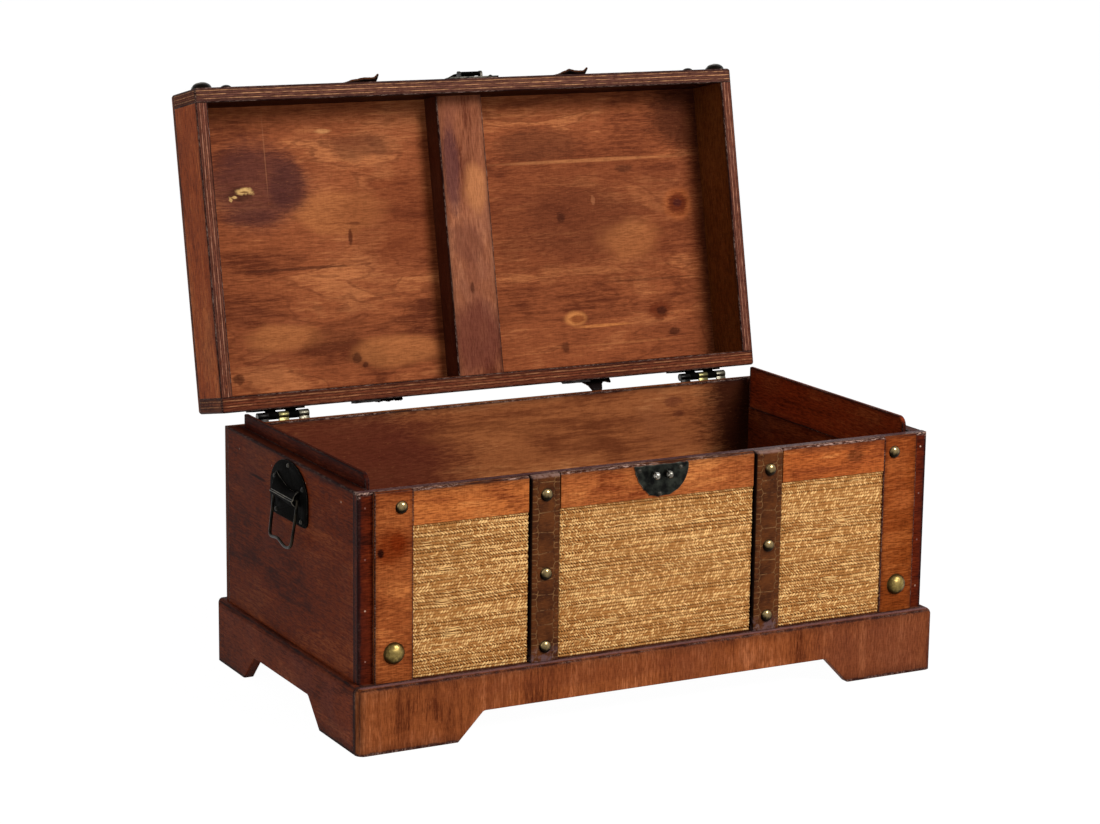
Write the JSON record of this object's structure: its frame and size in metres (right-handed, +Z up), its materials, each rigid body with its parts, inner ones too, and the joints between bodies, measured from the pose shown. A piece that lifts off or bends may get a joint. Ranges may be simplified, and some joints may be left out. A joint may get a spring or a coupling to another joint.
{
  "type": "sea chest",
  "caption": "Low sea chest on a bracket-foot plinth: stained boards, seagrass front panels, leather straps, hinged tray lid standing open, hasp and staple, drop handles on the ends.",
  "frame": {"origin": "on the floor, midway between the two ends and midway between the front-most and the rear-most points with the lid open", "axes": "+X to the right seen from the front, +Y to the back, +Z up"},
  "size_m": [0.818, 0.5998, 0.7318],
  "materials": {
    "carcass_wood": "satin, brown stain over plywood",
    "facing_wood": "satin, lighter red-brown stain",
    "plinth_wood": "satin, dark red-brown stain, burnished edges",
    "inner_wood": "dull stain",
    "lid_wood": "satin stain with worn ply edges",
    "lid_panel_wood": "satin stain",
    "seagrass": "woven twisted seagrass, matt",
    "strap_leather": "embossed, semi-gloss",
    "nail_brass": "antique polished",
    "pin_filler": "filled over, matt",
    "black_iron": "black lacquer, worn edges",
    "bright_steel": "worn bright",
    "hinge_iron": "dark, brass-coloured knuckles"
  },
  "bodies": {
    "chest": {"front_board": "carcass_wood", "back_board": "carcass_wood", "side_board_left": "carcass_wood", "side_board_right": "carcass_wood", "bottom_panel": "inner_wood", "guide_board_left": "inner_wood", "guide_board_right": "inner_wood", "plinth_front": "plinth_wood", "plinth_left": "plinth_wood", "plinth_right": "plinth_wood", "plinth_back": "plinth_wood", "plinth_cleats_long": "inner_wood", "plinth_cleats_short": "inner_wood", "plinth_corner_blocks": "inner_wood", "front_stile_left": "facing_wood", "front_stile_right": "facing_wood", "front_rail_left": "facing_wood", "front_rail_centre": "facing_wood", "front_rail_right": "facing_wood", "seagrass_panel_left": "seagrass", "seagrass_panel_centre": "seagrass", "seagrass_panel_right": "seagrass", "front_strap_right": "strap_leather", "front_strap_left": "strap_leather", "front_nails_small": "nail_brass", "front_nails_large": "nail_brass", "panel_pins": "pin_filler", "lock_plate": "black_iron", "lock_staple": "bright_steel", "handle_plate_left": "black_iron", "handle_clip_left": "black_iron", "handle_plate_right": "black_iron", "handle_clip_right": "black_iron", "handle_rivets": "black_iron", "plate_nails": "black_iron", "hinge_leaf_body_left": "hinge_iron", "hinge_pin_left": "bright_steel", "hinge_leaf_body_right": "hinge_iron", "hinge_pin_right": "bright_steel", "hinge_screws_body": "bright_steel"},
    "lid": {"lid_front_rail": "lid_wood", "lid_back_rail": "lid_wood", "lid_side_rail_left": "lid_wood", "lid_side_rail_right": "lid_wood", "lid_top_panel": "lid_panel_wood", "lid_batten": "lid_wood", "lid_strap_right": "strap_leather", "lid_strap_left": "strap_leather", "lid_nails_small": "nail_brass", "lid_nails_large": "nail_brass", "hasp_plate": "black_iron", "hasp_pin": "bright_steel", "hasp_nails": "black_iron", "hinge_leaf_lid_left": "hinge_iron", "hinge_leaf_lid_right": "hinge_iron", "hinge_screws_lid": "bright_steel"},
    "hasp": {"hasp_tongue": "black_iron"},
    "handle_left": {"bail_left": "black_iron"},
    "handle_right": {"bail_right": "black_iron"}
  },
  "joints": [
    {"name": "lid_hinge", "type": "hinge", "parent": "chest", "child": "lid", "pos_m": [0, 0.13158, 0.3115], "axis": [-1, 0, 0], "range_deg": [-101.7, 0]},
    {"name": "hasp_hinge", "type": "hinge", "parent": "lid", "child": "hasp", "pos_m": [0, 0.22839, 0.72475], "axis": [1, 0, 0], "range_deg": [0, 187]},
    {"name": "handle_left_hinge", "type": "hinge", "parent": "chest", "child": "handle_left", "pos_m": [-0.3976, -0.08462, 0.264], "axis": [0, 1, 0], "range_deg": [0, 95]},
    {"name": "handle_right_hinge", "type": "hinge", "parent": "chest", "child": "handle_right", "pos_m": [0.3976, -0.08462, 0.264], "axis": [0, -1, 0], "range_deg": [0, 95]}
  ]
}
